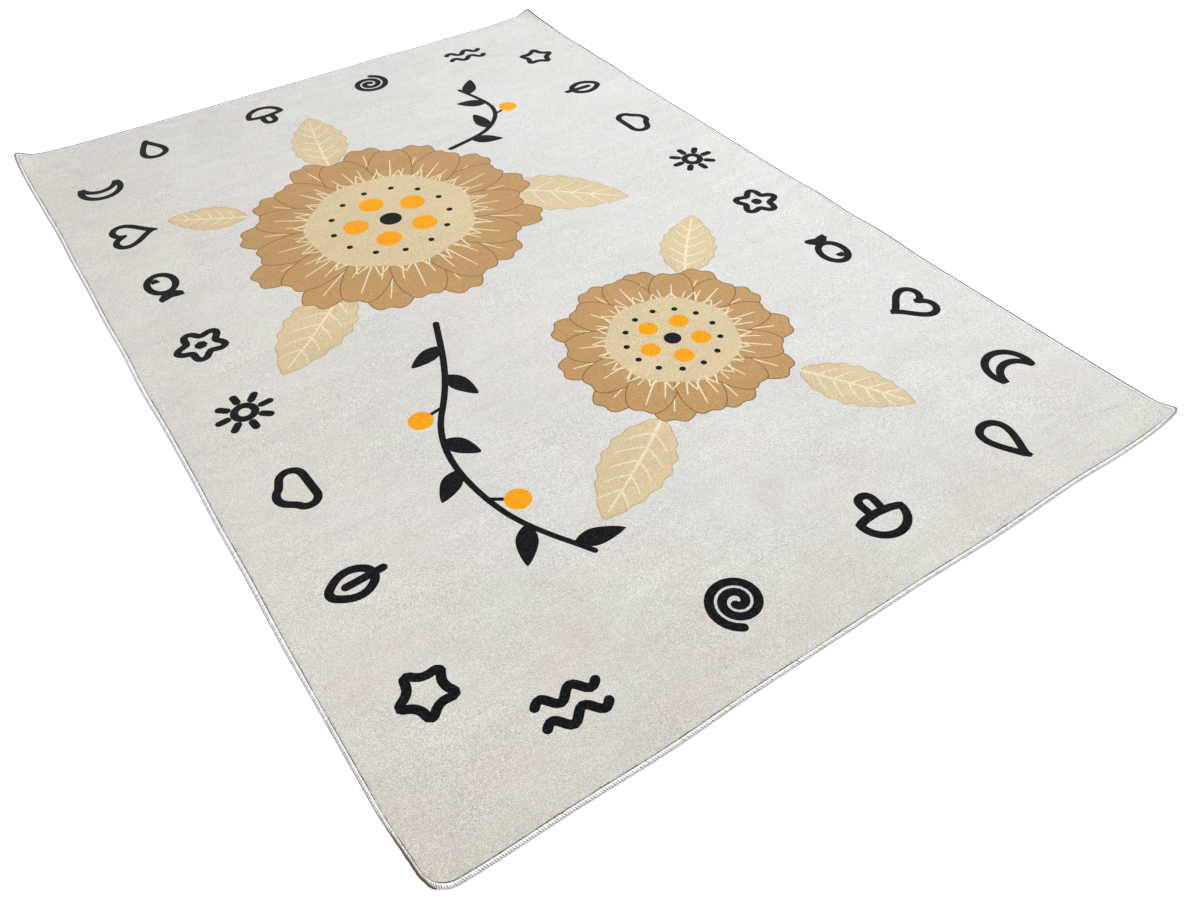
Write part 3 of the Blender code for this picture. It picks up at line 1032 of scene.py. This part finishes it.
def build_strand(name, phase):
    """One of the two strands that are locked together along the rim."""
    outline = Outline(EDGE_STEP)
    stations = 2 * round(outline.total / STITCH_PITCH)
    along = np.arange(stations) * outline.total / stations
    sway = np.cos(math.pi * np.arange(stations) + phase)[:, None]
    angles = np.arange(STRAND_SIDES) * 2 * math.pi / STRAND_SIDES
    inset = STRAND_RADIUS + STRAND_SWAY * sway - STRAND_RADIUS * np.cos(angles)
    height = STRAND_HEIGHT + STRAND_RISE * sway + STRAND_RADIUS * np.sin(angles)
    along = np.repeat(along[:, None], STRAND_SIDES, axis=1)
    x, y = outline.at(along, on_thread(outline, along, inset))
    return ring_band(name, lay(x, y, height))


def build_rim_tufts():
    """Ragged tufts of pile that hang over the inner ends of the stitches."""
    bpy.ops.mesh.primitive_cone_add(vertices=TUFT_SIDES, radius1=1.0, radius2=TUFT_TIP, depth=1.0,
                                    location=(0.0, 0.0, 0.5))
    tuft = bpy.context.object
    bpy.ops.object.transform_apply(location=True, rotation=True, scale=True)
    template = take_template(tuft)
    outwards, sideways, up = template[0].T
    draw = np.random.default_rng(31)
    outline = Outline(EDGE_STEP)
    count = round(outline.total / TUFT_PITCH)
    start = np.sort(draw.uniform(0.0, outline.total, count))[:, None]
    wide, thick, rise, lean = (
        draw.uniform(*limits, (count, 1)) for limits in (TUFT_WIDTH, TUFT_THICKNESS, TUFT_RISE, TUFT_LEAN)
    )
    inset = PANEL_INSET + TUFT_ROOT - thick * outwards - lean * up
    x, y = outline.at(start + wide * sideways, inset)
    return repeat("rim_tufts", template, lay(x, y, RIM_TOP + rise * up), 0.0)


# ---- materials

def feed(inputs, values):
    """Sets sockets to numbers and colours, or joins the outputs of other nodes to them."""
    for key, value in values.items():
        if isinstance(value, (int, float, tuple)):
            inputs[key].default_value = value
        else:
            inputs[key].id_data.links.new(value, inputs[key])


GRAIN_PART = (0.3, 0.7)  # of the noise's range, where nearly all of its values lie


class Nodes:
    """Short ways to add the nodes of one material."""

    def __init__(self, name):
        self.material = bpy.data.materials.new(name)
        self.material.use_nodes = True
        self.nodes = self.material.node_tree.nodes

    def add(self, kind, values, **settings):
        node = self.nodes.new(kind)
        for key, value in settings.items():
            setattr(node, key, value)
        feed(node.inputs, values)
        return node

    def surface(self, values):
        feed(self.nodes["Principled BSDF"].inputs, values)
        return self.material

    def object_place(self, scale=(1.0, 1.0, 1.0)):
        place = self.add("ShaderNodeTexCoord", {}).outputs["Object"]
        return self.add("ShaderNodeMapping", {"Vector": place, "Scale": scale}).outputs["Vector"]

    def attribute(self, name):
        node = self.add("ShaderNodeAttribute", {}, attribute_name=name, attribute_type="GEOMETRY")
        return node.outputs["Fac"]

    def noise(self, vector, scale, detail=2.0, roughness=0.5, distortion=0.0):
        values = {"Vector": vector, "Scale": scale, "Detail": detail, "Roughness": roughness}
        return self.add("ShaderNodeTexNoise", {**values, "Distortion": distortion}).outputs["Fac"]

    def range(self, value, low, high, from_low=0.0, from_high=1.0, soft=False):
        values = {"Value": value, "From Min": from_low, "From Max": from_high, "To Min": low, "To Max": high}
        kind = "SMOOTHSTEP" if soft else "LINEAR"
        return self.add("ShaderNodeMapRange", values, interpolation_type=kind).outputs["Result"]

    def grains(self, vector, scale, low, high, detail=2.0, roughness=0.6):
        """A factor between low and high that varies in soft grains."""
        return self.range(self.noise(vector, scale, detail, roughness), low, high, *GRAIN_PART)

    def math(self, operation, first, second):
        return self.add("ShaderNodeMath", {0: first, 1: second}, operation=operation).outputs["Value"]

    def product(self, *values):
        result = values[0]
        for value in values[1:]:
            result = self.math("MULTIPLY", result, value)
        return result

    def mix(self, factor, first, second, blend="MIX"):
        node = self.add("ShaderNodeMix", {}, data_type="RGBA", blend_type=blend)
        sockets = {socket.identifier: socket for socket in (*node.inputs, *node.outputs)}
        feed(sockets, {"Factor_Float": factor, "A_Color": first, "B_Color": second})
        return sockets["Result_Color"]

    def scaled(self, colour, factor):
        """A colour made lighter or darker by a factor that varies."""
        node = self.add("ShaderNodeVectorMath", {0: colour, "Scale": factor}, operation="SCALE")
        return node.outputs["Vector"]

    def bump(self, height, strength, distance, **normal):
        values = {"Height": height, "Strength": strength, "Distance": distance, **normal}
        return self.add("ShaderNodeBump", values).outputs["Normal"]


def srgb(red, green, blue):
    """A colour read off as 0 to 255, in the linear form that shaders take."""
    parts = []
    for value in (red, green, blue):
        value /= 255.0
        parts.append(value / 12.92 if value <= 0.04045 else ((value + 0.055) / 1.055) ** 2.4)
    return (*parts, 1.0)


DYE_COLOURS = {
    GROUND: srgb(209, 209, 208),
    TAN: srgb(182, 145, 98),
    TAN_LINE: srgb(136, 99, 60),
    BEIGE: srgb(208, 191, 156),
    BEIGE_LINE: srgb(187, 167, 130),
    CREAM: srgb(228, 214, 184),
    BLACK: srgb(8, 8, 13),
    ORANGE: srgb(238, 158, 8),
}

# Painted shade: the pile is made warmer and darker towards its left side and its near end.
WARM_SHADE_LEFT = (1.0, 0.962, 0.930, 1.0)
WARM_SHADE_NEAR = (0.940, 0.926, 0.884, 1.0)
PLAIN = (1.0, 1.0, 1.0, 1.0)
PINK_CLOUD = (1.014, 0.990, 0.988, 1.0)
GREEN_CLOUD = (0.990, 1.002, 0.972, 1.0)


def pile_material():
    """Short plush with a printed dye, fine grain, cloudy patches and a soft sheen, with painted shade: warmer
    and darker towards the left side and the near end, a little darker towards the far end.
    """
    n = Nodes("printed_plush")
    place = n.object_place()
    x, y, _ = n.add("ShaderNodeSeparateXYZ", {"Vector": place}).outputs
    part = n.math("DIVIDE", n.attribute("dye"), float(DYE_COUNT))
    ramp = n.add("ShaderNodeValToRGB", {"Fac": part})
    ramp.color_ramp.interpolation = "CONSTANT"
    stops = ramp.color_ramp.elements
    while len(stops) < DYE_COUNT:
        stops.new(1.0)
    for k in range(DYE_COUNT):
        stops[k].position = max(0.0, (k - 0.5) / DYE_COUNT)
        stops[k].color = DYE_COLOURS[k]

    undyed = n.range(n.noise(place, 310.0, 2.0, 0.6), 0.0, 0.03, 0.50, 0.72)
    dyed = n.mix(undyed, ramp.outputs["Color"], DYE_COLOURS[GROUND])
    cloud = n.noise(place, 9.0, 4.0, 0.62)
    tint = n.mix(n.range(cloud, 0.0, 1.0, 0.40, 0.60, True), PINK_CLOUD, GREEN_CLOUD)
    wander = n.range(cloud, -0.10, 0.10, 0.35, 0.65)
    # Painted warm shade towards the left side and the near end.
    from_left = n.range(n.math("ADD", x, wander), 0.0, 1.0, -0.65, 0.30, True)
    from_near = n.range(n.math("ADD", y, wander), 0.0, 1.0, -1.00, -0.50, True)
    colour = dyed
    for layer in (tint, n.mix(from_left, WARM_SHADE_LEFT, PLAIN), n.mix(from_near, WARM_SHADE_NEAR, PLAIN)):
        colour = n.mix(1.0, colour, layer, "MULTIPLY")

    streaks = n.grains(n.object_place((7.0, 38.0, 1.0)), 1.0, 0.965, 1.035, 4.0)
    patches = n.range(n.noise(place, 5.5, 3.0, 0.55, 0.8), 0.985, 1.015, 0.44, 0.56, True)
    clumps = n.grains(place, 62.0, 0.982, 1.018, 3.0)
    grain = n.grains(place, 230.0, 0.93, 1.07)
    fibre = n.grains(place, 700.0, 0.66, 1.34)
    # Painted shade and light from the tone attribute, partly the pile's lie: along the creases and the near
    # and left border.
    lie_and_painted_shade = n.math("ADD", n.attribute("tone"), 1.0)
    # Painted shade: the pile is a little darker towards the far end.
    toward_far_shade = n.range(y, 1.0, 0.98, 0.50, 0.85, True)
    shade = n.product(n.product(streaks, patches, clumps, grain, fibre, lie_and_painted_shade), toward_far_shade)
    tufts = n.bump(n.noise(place, 230.0, 3.0, 0.65), 0.40, 0.0014)
    fibres = n.bump(n.noise(place, 800.0, 2.0, 0.6), 0.45, 0.0008, Normal=tufts)
    return n.surface({"Base Color": n.scaled(colour, shade), "Normal": fibres, "Roughness": 0.92,
                      "Specular IOR Level": 0.08, "Sheen Weight": 0.12, "Sheen Roughness": 0.45})


def backing_material():
    """The woven back of the sheet, brown and matt."""
    n = Nodes("woven_back")
    place = n.object_place()
    across, along = (
        n.add("ShaderNodeTexWave", {"Vector": place, "Scale": 180.0, "Distortion": 0.6}, wave_type="BANDS",
              bands_direction=direction).outputs["Fac"]
        for direction in "XY"
    )
    weave = n.math("MULTIPLY", across, along)
    yarn = n.mix(weave, srgb(92, 74, 58), srgb(134, 113, 92))
    worn = n.range(n.noise(place, 30.0, 3.0), 0.85, 1.12)
    return n.surface({"Base Color": n.scaled(yarn, worn), "Normal": n.bump(weave, 0.5, 0.0008),
                      "Roughness": 0.9})


def thread_material(name, near_inner, near_outer, far_inner, far_outer, inner_rim_shade):
    """Bulky thread with fine filaments, with painted shade that greys its outside, above all on the far and
    right sides.
    """
    n = Nodes(name)
    place = n.object_place()
    x, y, _ = n.add("ShaderNodeSeparateXYZ", {"Vector": place}).outputs
    across = n.attribute("across")
    # Painted shade: the outer part of the thread is greyer.
    near_outer_shade = n.range(across, 0.0, 1.0, 0.55, 0.98, True)
    far_outer_shade = n.range(across, 0.0, 1.0, 0.28, 0.58, True)
    slanted = n.math("ADD", n.product(x, 2.0 / RUG_WIDTH), n.product(y, 2.0 / RUG_LENGTH))
    # Toward the far and right sides the thread takes the far colours, with darker painted shade on the
    # outside.
    toward_far_shade = n.range(slanted, 0.0, 1.0, -0.12, 0.12, True)
    base = n.mix(toward_far_shade, n.mix(near_outer_shade, near_inner, near_outer), n.mix(far_outer_shade, far_inner, far_outer))
    # Painted shade on the outside and along the rim, darker towards the far end, a little lighter at the near
    # end.
    painted_rim_shade = n.product(n.range(y, -0.05, 0.26, 0.10, 0.55, True),
                     n.range(across, inner_rim_shade, 1.0, 0.30, 0.80, True))
    filaments = n.grains(place, 1300.0, 0.90, 1.06)
    patches = n.grains(place, 55.0, 0.96, 1.03, roughness=0.5)
    shade = n.product(filaments, patches, n.math("SUBTRACT", 1.0, painted_rim_shade))
    twist = n.bump(n.noise(place, 1500.0, 2.0), 0.30, 0.0004)
    return n.surface({"Base Color": n.scaled(base, shade), "Normal": twist, "Roughness": 0.62,
                      "Specular IOR Level": 0.30, "Sheen Weight": 0.20})


def floor_material():
    return Nodes("pale_floor").surface({
        "Base Color": (0.90, 0.90, 0.90, 1.0), "Emission Color": PLAIN, "Emission Strength": 0.60,
        "Roughness": 0.9, "Specular IOR Level": 0.1,
    })


# ---- scene

def build_floor():
    bpy.ops.mesh.primitive_plane_add(size=60.0, location=(0.0, 0.0, -0.0003))
    floor = bpy.context.object
    floor.name = "floor"
    floor.data.materials.append(floor_material())


def area_light(name, place, target, size, watts, colour):
    light = bpy.data.lights.new(name, "AREA")
    light.shape = "DISK"
    light.size = size
    light.energy = watts
    light.color = colour
    lamp = bpy.data.objects.new(name, light)
    lamp.location = place
    lamp.rotation_euler = (Vector(target) - Vector(place)).to_track_quat("-Z", "Y").to_euler()
    bpy.context.scene.collection.objects.link(lamp)


def build_lights():
    world = bpy.data.worlds.new("soft_studio")
    world.use_nodes = True
    feed(world.node_tree.nodes["Background"].inputs, {"Color": (1.0, 0.995, 0.985, 1.0), "Strength": 0.65})
    bpy.context.scene.world = world
    area_light("window_light", place=(2.4, 0.3, 3.0), target=(0.1, 0.1, 0.0), size=2.2, watts=96.0,
               colour=(0.97, 0.99, 1.0))
    area_light("fill_light", place=(-2.7, -2.9, 0.9), target=(0.0, 0.0, 0.0), size=2.0, watts=48.0,
               colour=(1.0, 0.98, 0.95))


def build_camera():
    camera = bpy.data.cameras.new("camera")
    camera.lens = CAMERA_LENS
    camera.clip_start = 0.01
    viewer = bpy.data.objects.new("camera", camera)
    forward = Vector(CAMERA_FORWARD).normalized()
    right = forward.cross(Vector(CAMERA_UP)).normalized()
    viewer.matrix_world = Matrix((right, right.cross(forward), -forward)).transposed().to_4x4()
    viewer.location = CAMERA_PLACE
    bpy.context.scene.collection.objects.link(viewer)
    bpy.context.scene.camera = viewer
    bpy.context.scene.view_settings.view_transform = "Standard"


# Threads: inner and outer colour on the near left, then on the far right, and the inside's share of the
# painted shade
# The greys are painted shade: on the outside, along the rim and on the core between the stitches; the whiter
# inside on the far and right sides is painted light.
CORE_NEAR_SHADE, CORE_FAR = srgb(160, 156, 157), srgb(245, 243, 244)
STRAND_NEAR_SHADE, STRAND_FAR_SHADE = srgb(178, 173, 174), srgb(88, 84, 83)
SIDE_INNER = srgb(238, 234, 237)
THREADS = {
    "top_thread": (srgb(244, 244, 246), srgb(198, 194, 196), srgb(255, 255, 255), srgb(98, 94, 92), 0.0),
    "side_thread": (SIDE_INNER, srgb(160, 152, 151), SIDE_INNER, srgb(150, 142, 141), 0.0),
    "core_thread": (CORE_NEAR_SHADE, CORE_NEAR_SHADE, CORE_FAR, CORE_FAR, 0.0),
    "strand_thread": (STRAND_NEAR_SHADE, STRAND_NEAR_SHADE, STRAND_FAR_SHADE, STRAND_FAR_SHADE, 1.0),
}


def main():
    bpy.ops.object.select_all(action="DESELECT")
    build_camera()
    plush, back = pile_material(), backing_material()
    pile = build_pile()
    tufts = build_rim_tufts()
    core = build_core()
    top_stitches = build_top_stitches()
    side_stitches = build_side_stitches()
    strands = [build_strand("edge_strand_a", 0.0), build_strand("edge_strand_b", math.pi)]
    edge = [core, top_stitches, side_stitches, *strands]
    wound = {"top_thread": [top_stitches], "side_thread": [side_stitches], "core_thread": [core],
             "strand_thread": strands}
    for name, pieces in wound.items():
        thread = thread_material(name, *THREADS[name])
        for piece in pieces:
            piece.data.materials.append(thread)
    for piece in (pile, tufts):
        piece.data.materials.append(plush)
    pile.data.materials.append(back)
    for piece in (pile, tufts, *edge):
        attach(piece, "root")
    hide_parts("pile_sheet")
    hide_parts("edge_binding")
    build_floor()
    build_lights()


main()
bpy.context.view_layer.update()
